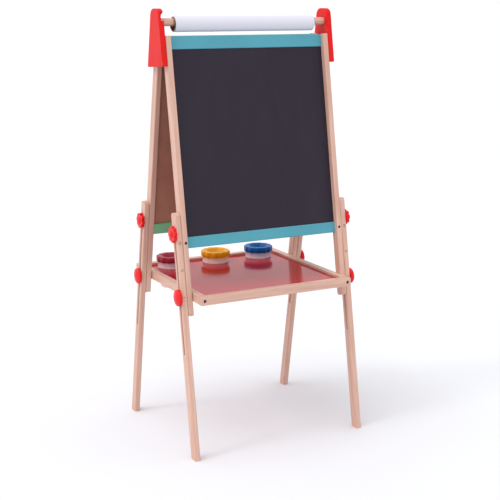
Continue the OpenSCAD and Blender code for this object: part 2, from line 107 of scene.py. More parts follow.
# Paint pots
CUP_EDGE = 0.3 * MM             # softening of a moulded cup's edges
LID_SKIRT = 15 * MM             # height of a lid's outer skirt
LID_GAP = 0.4 * MM              # air between a cup's barrel and the skirt
LID_PLATE = 2.5 * MM            # thickness of a lid's flat rim
LID_SHARP = math.radians(50)    # moulded edges softer than this are drawn smooth
LID_STEPS = 240                 # steps round a lid
SCALLOPS = 12                   # finger dips round a lid
FLUTES = 8                      # flutes round a lid's funnel
FLUTE_SHARE = 0.7               # depth of a flute, as a share of a scallop's
FUNNEL_MOUTH = 25 * MM          # radius of the funnel's mouth
FUNNEL_HOLE = 7 * MM            # radius of the hole at the funnel's tip
FUNNEL_WALL = 1.8 * MM

# Paper roll
CORE_EDGE = 0.2 * MM            # softening of the cardboard core's ends
PAPER_LAYER = 0.35 * MM         # one winding, drawn three times as thick to show
PAPER_PROUD = 0.05 * MM         # windings at an end lie this deep and
PAPER_BACK = 0.25 * MM          # this deep by turns
PAPER_TURNED = 0.2 * MM         # the last winding stands this far in from the paper's edge
SKIN_INSET = 0.3 * MM           # the outer sheet's end stands in from the paper's this far
PAPER_SAG = 0.04 * MM           # slack of the outer sheet between its ripples
PAPER_RIPPLES = 9               # half waves of slack along the roll
ROLL_STEPS = 180                # steps round the paper roll
ROLL_STATIONS = 24              # steps along the paper roll
FREE_EDGE = math.radians(-75)   # where round the roll the paper's free edge lies

# Stage: name, energy, angle and direction of each lamp, and the camera
LAMPS = (
    ("Overhead scrim", 1.05, math.radians(60), (0.75, 0.1, -1.5)),
    ("Side softbox", 0.42, math.radians(14), (1.0, 0.0, -1.0)),
)
LAMP_COLOUR = (1, 0.98, 0.97)
CAMERA_PLACE = (-1.2932, -2.4860, 1.0760)
CAMERA_TURN = (math.radians(77.51), 0, math.radians(-27.89))
CAMERA_LENS, CAMERA_SENSOR = 80.28, 36      # millimetres


def joint_axis(name):
    """Direction of one of the frame's joints."""
    return next(Vector(j["axis"]) for j in frame["joints"] if j["name"] == name)


FRONT_LEG = joint_axis("leg_front_left_slide").normalized()
REAR_LEG = joint_axis("leg_rear_left_slide").normalized()
FRONT_OUT = FRONT_LEG.cross(ACROSS).normalized()
if FRONT_OUT.y > 0:
    FRONT_OUT.negate()
REAR_OUT = Vector((0, -FRONT_OUT.y, FRONT_OUT.z))


def linear(code):
    """sRGB hex colour to linear RGB."""
    parts = [int(code[i:i + 2], 16) / 255 for i in (1, 3, 5)]
    return tuple(c / 12.92 if c <= 0.04045 else ((c + 0.055) / 1.055) ** 2.4 for c in parts)


# ---- sizes and colours a user would change ----

def length(name, description, default_mm):
    return FloatProperty(
        name=name, description=description, default=default_mm * MM,
        min=0, unit="LENGTH", subtype="DISTANCE", precision=5,
    )


def colour(name, description, code):
    return FloatVectorProperty(
        name=name, description=description, default=linear(code),
        min=0, max=1, size=3, subtype="COLOR",
    )


class EaselSizes(PropertyGroup):
    """Sizes of the finish."""

    wood_edge: length("Wood edge", "Softening of a planed wooden edge", 0.5)
    plate_edge: length("Head plate edge", "Round on the edges of a head plate", 2.2)
    knob_edge: length("Knob edge", "Softening of the remaining sharp knob edges", 0.3)
    stroke_width: length("Stroke width", "Width of a tally stroke on a leg", 7)
    stroke_height: length("Stroke height", "Thickness of a tally stroke on a leg", 1.2)
    stroke_pitch: length("Stroke pitch", "Distance between two strokes of one tally", 3)
    stroke_step: length("Tally step", "Distance between two tallies along a leg", 65)
    recess_width: length("Recess width", "Width of one arm of a screw's cross recess", 1.0)
    recess_depth: length("Recess depth", "Depth of a screw's cross recess", 1.2)
    paper_step: length("Paper edge", "Step where the paper's free edge ends", 0.35)
    lid_scallop: length("Lid scallop", "Depth of the scallops round a lid", 2.3)
    floor_half: length("Floor half width", "Half the width of the studio floor", 400000)


class EaselColours(PropertyGroup):
    """Colours of the finishes."""

    wood: colour("Wood", "Light part of the beech", "#dcb3a1")
    wood_dark: colour("Wood, dark", "Late growth and fibres of the beech", "#bb8672")
    teal: colour("Teal", "Paint of the chalkboard frame's rails", "#559fb0")
    green: colour("Green", "Paint of the whiteboard frame's rails", "#7cbb8f")
    plate_red: colour("Red paint", "Paint of the head plates", "#de1917")
    slate: colour("Slate", "Chalkboard paint", "#241c2b")
    white: colour("White", "Lacquer of the whiteboard", "#eef0f0")
    fibreboard: colour("Fibreboard", "Bare back of a board", "#b17b68")
    tray_red: colour("Tray red", "Lacquer of the tray panel", "#b2222f")
    knob_red: colour("Knob red", "Plastic of the knobs", "#e01c1e")
    lid_red: colour("Lid red", "Plastic of the left lid", "#9e2438")
    lid_yellow: colour("Lid yellow", "Plastic of the middle lid", "#e59a00")
    lid_blue: colour("Lid blue", "Plastic of the right lid", "#00559e")
    cup: colour("Cup", "Translucent plastic of the cups", "#f3e6ec")
    paper: colour("Paper", "Drawing paper", "#d6d6e1")
    cardboard: colour("Cardboard", "Wound core of the paper roll", "#6f5646")


# ---- material tools ----

def add(tree, kind, links=None, values=None, **settings):
    """Adds a node with its settings, the values of free inputs and the links of the others."""
    made = tree.nodes.new(kind)
    for key, value in settings.items():
        setattr(made, key, value)
    for key, value in (values or {}).items():
        made.inputs[key].default_value = value
    for key, source in (links or {}).items():
        tree.links.new(source, made.inputs[key])
    return made


def material(name, **values):
    """A material with one Principled shader whose uniform values sit on its own sockets."""
    made = bpy.data.materials.new(name)
    made.use_nodes = True
    tree = made.node_tree
    tree.nodes.clear()
    shader = add(tree, "ShaderNodeBsdfPrincipled", values=values)
    add(tree, "ShaderNodeOutputMaterial", {"Surface": shader.outputs[0]})
    return made, tree, shader


def grain_vector(tree, scale):
    """The piece's own grain coordinates in metres, squeezed along the fibres."""
    grain = add(tree, "ShaderNodeAttribute", attribute_name="grain")
    return add(tree, "ShaderNodeMapping", {"Vector": grain.outputs["Vector"]},
               {"Scale": scale}).outputs[0]


def noise(tree, vector, per_metre, detail=2.0, roughness=0.5, distortion=0.0):
    """Cloudy pattern with so many patches to a metre of its vector."""
    values = {"Scale": per_metre, "Detail": detail, "Roughness": roughness,
              "Distortion": distortion}
    return add(tree, "ShaderNodeTexNoise", {"Vector": vector}, values).outputs["Fac"]


def remap(tree, value, low, high, to_low, to_high):
    """Brings a value from one range to another and holds it there."""
    values = {"From Min": low, "From Max": high, "To Min": to_low, "To Max": to_high}
    return add(tree, "ShaderNodeMapRange", {"Value": value}, values).outputs[0]


def mix(tree, factor, first, second, **settings):
    """Colour mix. Each colour is a linear RGB tuple or another node's output."""
    links, values = {}, {}
    for key, item in ((0, factor), (6, first), (7, second)):
        if isinstance(item, bpy.types.NodeSocket):
            links[key] = item
        else:
            values[key] = item if key == 0 else (*item[:3], 1)
    return add(tree, "ShaderNodeMix", links, values, data_type="RGBA", **settings).outputs[2]


def bump(tree, shader, height, distance, strength):
    """Relief of so many metres in the shader's normal."""
    made = add(tree, "ShaderNodeBump", {"Height": height},
               {"Distance": distance, "Strength": strength})
    tree.links.new(made.outputs[0], shader.inputs["Normal"])


def object_vector(tree):
    return add(tree, "ShaderNodeTexCoord").outputs["Object"]


def shade(base, factor):
    """A colour made darker or lighter by a factor."""
    return tuple(min(1.0, c * factor) for c in base)


# ---- materials ----

# Beech, planed and sprayed with a thin clear lacquer: an even pinkish tan with soft
# growth bands, fine darker fibres and a low satin shine
def lacquered_beech(colours):
    made, tree, shader = material(
        "Lacquered beech", IOR=1.5, **{"Coat Weight": 0.12, "Coat Roughness": 0.35})
    light, dark = tuple(colours.wood), tuple(colours.wood_dark)
    bands = noise(tree, grain_vector(tree, (1, 1, 0.045)), 150, 3, 0.55, 0.5)
    fibres = noise(tree, grain_vector(tree, (1, 1, 0.02)), 1300, 2, 0.6)
    board = noise(tree, grain_vector(tree, (1, 1, 0.25)), 9, 1, 0.5)
    # Ray flecks are 0.3 by 3 mm in the wood and drawn at twice that to show
    flecks = add(tree, "ShaderNodeTexVoronoi",
                 {"Vector": grain_vector(tree, (1, 1, 0.12))}, {"Scale": 900}).outputs[0]
    tone = mix(tree, remap(tree, board, 0.35, 0.65, 0, 1), light, shade(light, 0.9))
    tone = mix(tree, remap(tree, bands, 0.38, 0.66, 0, 0.5), tone, dark)
    tone = mix(tree, remap(tree, fibres, 0.5, 0.75, 0, 0.3), tone, shade(dark, 0.8))
    tone = mix(tree, remap(tree, flecks, 0.05, 0.25, 0.22, 0), tone, dark)
    tree.links.new(tone, shader.inputs["Base Color"])
    tree.links.new(remap(tree, fibres, 0.3, 0.7, 0.4, 0.52), shader.inputs["Roughness"])
    bump(tree, shader, fibres, 0.15 * MM, 0.35)
    return made


# Beech under sprayed paint: an even satin colour with the fibres just showing through
# and the wood just showing where the paint is thin on the edges
def painted_beech(name, base, wood, roughness):
    made, tree, shader = material(name, IOR=1.5, **{"Specular IOR Level": 0.16})
    fibres = noise(tree, grain_vector(tree, (1, 1, 0.03)), 700, 3, 0.6)
    cloud = noise(tree, grain_vector(tree, (1, 1, 0.4)), 22, 2)
    peel = noise(tree, grain_vector(tree, (1, 1, 1)), 900, 1)
    worn = add(tree, "ShaderNodeAttribute", attribute_name="worn").outputs["Fac"]
    chips = noise(tree, grain_vector(tree, (1, 1, 0.3)), 260, 3, 0.7)
    tone = mix(tree, remap(tree, cloud, 0.35, 0.65, 0, 1), base, shade(base, 0.93))
    tone = mix(tree, remap(tree, fibres, 0.5, 0.72, 0, 0.16), tone, shade(base, 0.72))
    thin = maths(tree, "MULTIPLY", worn, remap(tree, chips, 0.64, 0.72, 0, 0.35))
    tone = mix(tree, thin, tone, wood)
    tree.links.new(tone, shader.inputs["Base Color"])
    tree.links.new(remap(tree, cloud, 0.3, 0.7, roughness, roughness + 0.08),
                   shader.inputs["Roughness"])
    bump(tree, shader, maths(tree, "ADD", fibres, peel), 0.08 * MM, 0.3)
    return made


# Chalkboard paint rolled on hardboard: near black, fine tooth, a wiped haze of chalk
def chalkboard_paint(base):
    made, tree, shader = material("Chalkboard paint", IOR=1.45, **{"Specular IOR Level": 0.3})
    spot = object_vector(tree)
    wide = add(tree, "ShaderNodeMapping", {"Vector": spot},
               {"Scale": (1, 1, 0.35), "Rotation": (0, 0.5, 0)}).outputs[0]
    haze = noise(tree, wide, 7, 4, 0.62, 0.8)
    tooth = noise(tree, spot, 2200, 2, 0.6)
    tone = mix(tree, remap(tree, haze, 0.4, 0.8, 0, 0.012), base, linear("#e7e7ed"))
    tone = mix(tree, remap(tree, tooth, 0.55, 0.8, 0, 0.015), tone, linear("#bcbcc4"))
    tree.links.new(tone, shader.inputs["Base Color"])
    tree.links.new(remap(tree, haze, 0.3, 0.7, 0.5, 0.62), shader.inputs["Roughness"])
    bump(tree, shader, tooth, 0.06 * MM, 0.4)
    return made


# Whiteboard lacquer on hardboard: white, glossy, with a faint roller texture
def whiteboard_lacquer(base):
    made, tree, shader = material("Whiteboard lacquer", IOR=1.5, Roughness=0.16)
    spot = object_vector(tree)
    wipe = noise(tree, spot, 14, 3, 0.6, 0.6)
    tone = mix(tree, remap(tree, wipe, 0.4, 0.75, 0, 0.06), base, linear("#b3b8c4"))
    tree.links.new(tone, shader.inputs["Base Color"])
    bump(tree, shader, noise(tree, spot, 480, 1), 0.05 * MM, 0.15)
    return made


# Hardboard, hot pressed from wood fibre: brown and matt, mottled with short fibres
def bare_hardboard(base):
    made, tree, shader = material("Bare hardboard", IOR=1.45, **{"Specular IOR Level": 0.3})
    spot = object_vector(tree)
    fibres = noise(tree, spot, 620, 4, 0.75, 1.2)
    cloud = noise(tree, spot, 18, 3)
    tone = mix(tree, remap(tree, cloud, 0.3, 0.7, 0, 1), base, shade(base, 0.82))
    tone = mix(tree, remap(tree, fibres, 0.45, 0.7, 0, 0.45), tone, shade(base, 0.55))
    tree.links.new(tone, shader.inputs["Base Color"])
    tree.links.new(remap(tree, fibres, 0.3, 0.7, 0.6, 0.75), shader.inputs["Roughness"])
    bump(tree, shader, fibres, 0.1 * MM, 0.4)
    return made


# Fibreboard under curtain-coated red lacquer: glossy, with mirrored pots and rails and
# a very slight orange peel
def lacquered_panel(base):
    made, tree, shader = material(
        "Red lacquered panel", IOR=1.45, **{"Specular IOR Level": 0.17})
    spot = object_vector(tree)
    cloud = noise(tree, spot, 12, 3)
    tone = mix(tree, remap(tree, cloud, 0.3, 0.7, 0, 1), base, shade(base, 0.88))
    tree.links.new(tone, shader.inputs["Base Color"])
    tree.links.new(remap(tree, cloud, 0.3, 0.7, 0.1, 0.16), shader.inputs["Roughness"])
    bump(tree, shader, noise(tree, spot, 160, 1), 0.05 * MM, 0.12)
    return made


# ABS, injection moulded in a polished tool: saturated and glossy, faintly uneven where
# it shrank, with fine handling scratches in its shine
def moulded_plastic(name, base, roughness):
    made, tree, shader = material(name, IOR=1.53, **{"Specular IOR Level": 0.2})
    spot = object_vector(tree)
    flow = noise(tree, spot, 55, 2)
    scuffs = noise(tree, add(tree, "ShaderNodeMapping", {"Vector": spot},
                             {"Scale": (1, 6, 1), "Rotation": (0.4, 0.7, 0.2)}).outputs[0],
                   500, 3, 0.7)
    tone = mix(tree, remap(tree, flow, 0.35, 0.65, 0, 1), base, shade(base, 0.9))
    tree.links.new(tone, shader.inputs["Base Color"])
    tree.links.new(remap(tree, scuffs, 0.35, 0.7, roughness, roughness + 0.12),
                   shader.inputs["Roughness"])
    bump(tree, shader, flow, 0.12 * MM, 0.2)
    return made


# Polypropylene, thin moulded: milky. Over the upper part the lid's colour is painted in
# as a soft painted show-through of the funnel inside, fading downwards
def milky_cup(name, base, tint, painted_show_through_low, painted_show_through_high):
    made, tree, shader = material(name, IOR=1.49, **{"Specular IOR Level": 0.35})
    spot = object_vector(tree)
    height = add(tree, "ShaderNodeSeparateXYZ", {"Vector": spot}).outputs["Z"]
    flow = noise(tree, spot, 80, 2)
    tone = mix(tree, remap(tree, flow, 0.35, 0.65, 0, 1), base, shade(base, 0.95))
    # Painted show-through: the lid's colour mixed into the cup's own colour, strongest near the
    # lid and fading towards the bottom
    tone = mix(tree, remap(tree, height, painted_show_through_low, painted_show_through_high, 0.06, 0.6), tone, tint)
    tree.links.new(tone, shader.inputs["Base Color"])
    tree.links.new(remap(tree, flow, 0.3, 0.7, 0.22, 0.34), shader.inputs["Roughness"])
    bump(tree, shader, flow, 0.04 * MM, 0.1)
    return made


# Uncoated drawing paper: matt, cool white, with a fine felt of fibres
def drawing_paper(base):
    made, tree, shader = material("Drawing paper", IOR=1.45, **{"Specular IOR Level": 0.25})
    spot = object_vector(tree)
    felt = noise(tree, spot, 1500, 3, 0.65)
    crease = noise(tree, add(tree, "ShaderNodeMapping", {"Vector": spot},
                             {"Scale": (0.25, 1, 1)}).outputs[0], 45, 2)
    tone = mix(tree, remap(tree, felt, 0.4, 0.7, 0, 0.5), base, shade(base, 0.93))
    tree.links.new(tone, shader.inputs["Base Color"])
    tree.links.new(remap(tree, felt, 0.3, 0.7, 0.65, 0.78), shader.inputs["Roughness"])
    relief = maths(tree, "ADD", felt, remap(tree, crease, 0, 1, 0, 6))
    bump(tree, shader, relief, 0.05 * MM, 0.4)
    return made


# Spiral-wound grey-brown board: matt, with the seams of its 40 mm strip
def wound_cardboard(base):
    made, tree, shader = material("Wound cardboard", IOR=1.45, **{"Specular IOR Level": 0.2})
    spot = object_vector(tree)
    turned = add(tree, "ShaderNodeMapping", {"Vector": spot},
                 {"Rotation": (0, 0, 0.6)}).outputs[0]
    # Bands repeat every 0.314 / scale metres
    seams = add(tree, "ShaderNodeTexWave", {"Vector": turned},
                {"Scale": 0.314 / (40 * MM), "Distortion": 0.3}).outputs["Fac"]
    felt = noise(tree, spot, 900, 3, 0.7)
    tone = mix(tree, remap(tree, felt, 0.4, 0.7, 0, 0.5), base, shade(base, 0.75))
    tone = mix(tree, remap(tree, seams, 0.02, 0.06, 0.7, 0), tone, shade(base, 0.5))
    tree.links.new(tone, shader.inputs["Base Color"])
    tree.links.new(remap(tree, felt, 0.3, 0.7, 0.75, 0.88), shader.inputs["Roughness"])
    bump(tree, shader, felt, 0.08 * MM, 0.4)
    return made


# Turned or rolled metal: fine circular tool marks and a cloudy plating
def turned_metal(name, base, roughness):
    made, tree, shader = material(name, Metallic=1.0)
    spot = object_vector(tree)
    marks = noise(tree, add(tree, "ShaderNodeMapping", {"Vector": spot},
                            {"Scale": (12, 1, 1)}).outputs[0], 400, 2, 0.6)
    cloud = noise(tree, spot, 300, 2)
    tone = mix(tree, remap(tree, cloud, 0.35, 0.65, 0, 1), base, shade(base, 0.82))
    tree.links.new(tone, shader.inputs["Base Color"])
    tree.links.new(remap(tree, marks, 0.3, 0.7, roughness, roughness + 0.18),
                   shader.inputs["Roughness"])
    bump(tree, shader, marks, 0.03 * MM, 0.3)
    return made


# Stroke burnt into the wood by a hot die: dark brown and matt, mottled by the char
def burnt_wood():
    made, tree, shader = material("Burnt tally", IOR=1.45, **{"Specular IOR Level": 0.2})
    char = noise(tree, object_vector(tree), 1600, 3, 0.7)
    tone = mix(tree, remap(tree, char, 0.35, 0.7, 0, 1), linear("#6b4636"), linear("#8f6450"))
    tree.links.new(tone, shader.inputs["Base Color"])
    tree.links.new(remap(tree, char, 0.3, 0.7, 0.7, 0.85), shader.inputs["Roughness"])
    bump(tree, shader, char, 0.06 * MM, 0.3)
    return made


# Painted studio floor: plain, pale and matt, with the faintest mottling
def studio_floor():
    made, tree, shader = material("Studio floor", IOR=1.45, **{"Specular IOR Level": 0.1})
    cloud = noise(tree, object_vector(tree), 0.8, 3)
    tone = mix(tree, remap(tree, cloud, 0.3, 0.7, 0, 1), linear("#e1e3e8"), linear("#dfe1e6"))
    tree.links.new(tone, shader.inputs["Base Color"])
    tree.links.new(remap(tree, cloud, 0.3, 0.7, 0.8, 0.9), shader.inputs["Roughness"])
    return made


PALETTE = {}


def palette():
    """Every finish by name, made once."""
    c = bpy.context.scene.easel_colours
    if not PALETTE:
        wood = shade(tuple(c.wood_dark), 1.1)
        PALETTE.update({
            "beech": lacquered_beech(c),
            "teal": painted_beech("Teal painted beech", tuple(c.teal), wood, 0.36),
            "green": painted_beech("Green painted beech", tuple(c.green), wood, 0.36),
            "plate_red": painted_beech("Red painted beech", tuple(c.plate_red), wood, 0.34),
            "slate": chalkboard_paint(tuple(c.slate)),
            "white": whiteboard_lacquer(tuple(c.white)),
            "hardboard": bare_hardboard(tuple(c.fibreboard)),
            "tray": lacquered_panel(tuple(c.tray_red)),
            "knob": moulded_plastic("Red moulded knob", tuple(c.knob_red), 0.26),
            "lid_red": moulded_plastic("Red moulded lid", tuple(c.lid_red), 0.3),
            "lid_yellow": moulded_plastic("Yellow moulded lid", tuple(c.lid_yellow), 0.3),
            "lid_blue": moulded_plastic("Blue moulded lid", tuple(c.lid_blue), 0.3),
            "paper": drawing_paper(tuple(c.paper)),
            "cardboard": wound_cardboard(tuple(c.cardboard)),
            "zinc": turned_metal("Zinc plated steel", linear("#b9bcc0"), 0.28),
            "bronzed": turned_metal("Bronzed steel", linear("#4a3d35"), 0.42),
            "brass": turned_metal("Turned brass", linear("#c9a45a"), 0.26),
            "burnt": burnt_wood(),
            "floor": studio_floor(),
        })
    return PALETTE


# ---- mesh tools ----

def grain_axes(along):
    """Rotation that turns a direction along the fibres to the local Z axis."""
    side = ACROSS if abs(along.x) < 0.9 else DEEP
    deep = along.cross(side).normalized()
    side = deep.cross(along).normalized()
    return Matrix((side, deep, along.normalized()))


def write_grain(mesh, along):
    """Stores each vertex's place in the board the piece was cut from."""
    turn = grain_axes(along)
    start = Vector([GRAIN_SEED.uniform(-GRAIN_REACH, GRAIN_REACH) for _ in range(3)])
    values = []
    for vertex in mesh.vertices:
        values.extend(turn @ vertex.co + start)
    layer = mesh.attributes.new("grain", "FLOAT_VECTOR", "POINT")
    layer.data.foreach_set("vector", values)


def smooth(mesh, angle=SHARP):
    """Smooth shading with the sharper edges kept sharp."""
    mesh.shade_smooth()
    mesh.set_sharp_from_angle(angle=angle)


def plain_mesh(obj, name):
    """Turns an object's live modifiers into one plain mesh and removes them."""
    graph = bpy.context.evaluated_depsgraph_get()
    made = bpy.data.meshes.new_from_object(obj.evaluated_get(graph))
    made.name = name
    obj.modifiers.clear()
    obj.data = made
    return obj


def add_object(name, mesh, materials=()):
    """An object at the origin of the scene, with its materials."""
    obj = bpy.data.objects.new(name, mesh)
    bpy.context.scene.collection.objects.link(obj)
    for item in materials:
        mesh.materials.append(item)
    return obj


def merged(node):
    """A copy of a frame node's mesh with its triangles joined into flat faces."""
    bm = bmesh.new()
    bm.from_mesh(frame["nodes"][node].data)
    bmesh.ops.remove_doubles(bm, verts=bm.verts, dist=MERGE)
    bmesh.ops.dissolve_limit(bm, angle_limit=FLAT, verts=bm.verts, edges=bm.edges)
    return bm


def soften(bm, width, wanted=None):
    """Bevels the sharp edges, or the wanted ones in full, and returns the new faces."""
    edges = [e for e in bm.edges
             if e.is_manifold and e.calc_face_angle(0) > CORNER and (wanted is None or wanted(e))]
    made = bmesh.ops.bevel(bm, geom=edges, offset=width, offset_type="OFFSET", segments=2,
                           profile=0.5, clamp_overlap=wanted is None, affect="EDGES")
    return made["faces"]


def finish_piece(node, materials, along=None, edge=0.0, wanted=None, pick=None):
    """A finished copy of a frame node: softened edges, grain, smooth normals, materials.

    pick gives the index of a face's material from its normal and centre.
    """
    bm = merged(node)
    worn = bm.faces.layers.float.new("worn")
    if edge:
        for face in soften(bm, edge, wanted):
            face[worn] = 1.0
    for face in bm.faces:
        if pick:
            face.material_index = pick(face.normal, face.calc_center_median())
    mesh = bpy.data.meshes.new(f"{node}_finished")
    bm.to_mesh(mesh)
    bm.free()
    smooth(mesh)
    if along is not None:
        write_grain(mesh, along)
    obj = add_object(f"{node}_finished", mesh, materials)
    even = obj.modifiers.new("Even normals", "WEIGHTED_NORMAL")
    even.keep_sharp = True
    plain_mesh(obj, mesh.name)
    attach(obj, frame["nodes"][node]["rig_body"])
    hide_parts(node)
    return obj


def coat_node(node, material_made):
    """Gives a frame node that stays as it is a better material."""
    data = frame["nodes"][node].data
    data.materials.clear()
    data.materials.append(material_made)


def islands(node):
    """The separate solids of a frame node, each as a list of points."""
    bm = bmesh.new()
    bm.from_mesh(frame["nodes"][node].data)
    bmesh.ops.remove_doubles(bm, verts=bm.verts, dist=MERGE)
    left, found = set(bm.verts), []
    while left:
        first = left.pop()
        group, queue = [first.co.copy()], [first]
        while queue:
            for link in queue.pop().link_edges:
                for other in link.verts:
                    if other in left:
                        left.remove(other)
                        group.append(other.co.copy())
                        queue.append(other)
        found.append(group)
    bm.free()
    return found


def tree_with_inputs(name, inputs):
    """A geometry tree with named float inputs, given as (name, default)."""
    tree = bpy.data.node_groups.new(name, "GeometryNodeTree")
    tree.interface.new_socket("Geometry", in_out="INPUT", socket_type="NodeSocketGeometry")
    tree.interface.new_socket("Geometry", in_out="OUTPUT", socket_type="NodeSocketGeometry")
    for label, default in inputs:
        socket = tree.interface.new_socket(label, in_out="INPUT", socket_type="NodeSocketFloat")
        socket.default_value, socket.subtype = default, "DISTANCE"
    return tree, add(tree, "NodeGroupInput").outputs, add(tree, "NodeGroupOutput").inputs[0]


def grow(obj, tree, values, name):
    """Runs a geometry tree on an object and keeps its result as the object's mesh."""
    modifier = obj.modifiers.new(tree.name, "NODES")
    modifier.node_group = tree
    for item in tree.interface.items_tree:
        if item.in_out == "INPUT" and item.name in values:
            modifier[item.identifier] = values[item.name]
    return plain_mesh(obj, name)


def end_of_tree(tree, geometry, output, finish):
    """Realize Instances and Set Material, the last two nodes of every tree here."""
    real = add(tree, "GeometryNodeRealizeInstances", {0: geometry})
    last = add(tree, "GeometryNodeSetMaterial", {0: real.outputs[0]}, {"Material": finish})
    tree.links.new(last.outputs[0], output)


def feed(tree, kind, items, **settings):
    """A node whose first inputs are given in order, each a number or another node's output."""
    links, values = {}, {}
    for key, item in enumerate(items):
        (links if isinstance(item, bpy.types.NodeSocket) else values)[key] = item
    return add(tree, kind, links, values, **settings).outputs[0]


def maths(tree, operation, first, second):
    return feed(tree, "ShaderNodeMath", (first, second), operation=operation)


def vector_of(tree, x=0, y=0, z=0):
    return feed(tree, "ShaderNodeCombineXYZ", (x, y, z))


def tally_tree(finish):
    """One, two and three strokes stacked along Z, a step apart, as thin burnt bars."""
    tree, given, output = tree_with_inputs("Tally strokes", (
        ("Stroke Width", 7 * MM), ("Stroke Height", 1.2 * MM), ("Stroke Depth", 0.25 * MM),
        ("Stroke Pitch", 3 * MM), ("Tally Step", 65 * MM)))
    points = add(tree, "GeometryNodeJoinGeometry")
    for k in range(TALLIES):
        low = maths(tree, "SUBTRACT", maths(tree, "MULTIPLY", given["Tally Step"], k),
                    maths(tree, "MULTIPLY", given["Stroke Pitch"], k / 2))
        line = add(tree, "GeometryNodeMeshLine",
                   {"Start Location": vector_of(tree, z=low),
                    "Offset": vector_of(tree, z=given["Stroke Pitch"])}, {"Count": k + 1})
        tree.links.new(line.outputs[0], points.inputs[0])
    size = vector_of(tree, given["Stroke Width"], given["Stroke Depth"], given["Stroke Height"])
    bar = add(tree, "GeometryNodeMeshCube", {"Size": size},
              {"Vertices X": 8, "Vertices Y": 2, "Vertices Z": 3})
    bars = add(tree, "GeometryNodeInstanceOnPoints",
               {"Points": points.outputs[0], "Instance": bar.outputs[0]})
    end_of_tree(tree, bars.outputs[0], output, finish)
    return tree


def screw_tree(finish):
    """A countersunk screw with a cross recess at every point, turned to its 'aim'."""
    tree, given, output = tree_with_inputs("Countersunk screws", (
        ("Head Radius", 4 * MM), ("Shank Radius", 2 * MM), ("Head Height", 3.5 * MM),
        ("Length", 30 * MM), ("Recess Width", 1 * MM), ("Recess Depth", 1.2 * MM)))
    head_low = maths(tree, "MULTIPLY", given["Head Height"], -1)
    cone = add(tree, "GeometryNodeMeshCone",
               {"Radius Top": given["Head Radius"], "Radius Bottom": given["Shank Radius"],
                "Depth": given["Head Height"]}, {"Vertices": 32})
    head = add(tree, "GeometryNodeTransform",
               {"Geometry": cone.outputs[0], "Translation": vector_of(tree, z=head_low)})
    arm = maths(tree, "MULTIPLY", given["Head Radius"], 1.1)
    deep = maths(tree, "MULTIPLY", given["Recess Depth"], 2)
    cut = add(tree, "GeometryNodeMeshBoolean", {"Mesh 1": head.outputs[0]},
              operation="DIFFERENCE")
    for x, y in ((arm, given["Recess Width"]), (given["Recess Width"], arm)):
        box = add(tree, "GeometryNodeMeshCube", {"Size": vector_of(tree, x, y, deep)})
        tree.links.new(box.outputs[0], cut.inputs["Mesh 2"])
    shank_length = maths(tree, "SUBTRACT", given["Length"], given["Head Height"])
    shank = add(tree, "GeometryNodeMeshCylinder",
                {"Radius": given["Shank Radius"], "Depth": shank_length}, {"Vertices": 24})
    middle = maths(tree, "MULTIPLY",
                   maths(tree, "ADD", given["Length"], given["Head Height"]), -0.5)
    sunk = add(tree, "GeometryNodeTransform",
               {"Geometry": shank.outputs[0], "Translation": vector_of(tree, z=middle)})
    whole = add(tree, "GeometryNodeJoinGeometry")
    for part in (sunk, cut):
        tree.links.new(part.outputs[0], whole.inputs[0])
    aim = add(tree, "GeometryNodeInputNamedAttribute", values={"Name": "aim"},
              data_type="FLOAT_VECTOR")
    turn = add(tree, "FunctionNodeAlignRotationToVector", {"Vector": aim.outputs[0]}, axis="Z")
    screws = add(tree, "GeometryNodeInstanceOnPoints",
                 {"Points": given["Geometry"], "Instance": whole.outputs[0],
                  "Rotation": turn.outputs[0]})
    end_of_tree(tree, screws.outputs[0], output, finish)
    return tree


def screw_places(node, aims):
    """Head centre and aim of each screw of a frame node, and their length and head radius."""
    low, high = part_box(node)
    middle = (low + high) / 2
    places = []
    for points in islands(node):
        centre = sum(points, Vector()) / len(points)
        aim = max(aims, key=lambda a: a.dot(centre - middle)) if len(aims) > 1 else aims[0]
        along = [aim.dot(p) for p in points]
        spot = aim * max(along)
        radius = 0
        for direction in (aim.cross(ACROSS).normalized(), ACROSS):
            reach = [direction.dot(p) for p in points]
            spot += direction * (max(reach) + min(reach)) / 2
            radius = max(radius, (max(reach) - min(reach)) / 2)
        places.append((spot, aim))
    return places, (max(along) - min(along), radius)


# ---- operators ----

class EASEL_OT_head_plates(Operator):
    """Red painted head plates with rounded edges"""

    bl_idname = "easel.head_plates"
    bl_label = "Head plates"

    def execute(self, context):
        sizes, looks = context.scene.easel_sizes, palette()
        low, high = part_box("bracket_right")
        thick = high.x - low.x
        centre = (low + high) / 2
        pin_lines = [sum(points, Vector()) / len(points)
                     for node in ("bracket_screws", "pivot_pins") for points in islands(node)]

        def outline_edge(edge):
            middle = (edge.verts[0].co + edge.verts[1].co) / 2
            near_pin = any(math.hypot(middle.y - p.y, middle.z - p.z) < PIN_RIM
                           for p in pin_lines)
            flat = [abs(f.normal.x) > 0.99 for f in edge.link_faces]
            return any(flat) and not all(flat) and not near_pin and (
                abs(abs(middle.x) - abs(centre.x)) > thick / 2 - 0.5 * MM)

        for side in ("left", "right"):
            finish_piece(f"bracket_{side}", [looks["plate_red"]], UP,
                         sizes.plate_edge, outline_edge)
        for node in ("bracket_screws", "pivot_pins"):
            finish_piece(node, [looks["plate_red"], looks["zinc"]], UP, 0,
                         pick=lambda normal, spot: 0 if abs(spot.x) > high.x - PLATE_SKIN else 1)
        finish_piece("bracket_dowels", [looks["beech"]], ACROSS)
        return {"FINISHED"}


class EASEL_OT_posts(Operator):
    """The four posts with their grain along them"""

    bl_idname = "easel.posts"
    bl_label = "Posts"

    def execute(self, context):
        looks = palette()
        for end, along in (("front", FRONT_LEG), ("rear", REAR_LEG)):
            for side in ("left", "right"):
                finish_piece(f"{end}_post_{side}", [looks["beech"]], along,
                             context.scene.easel_sizes.wood_edge)
        return {"FINISHED"}


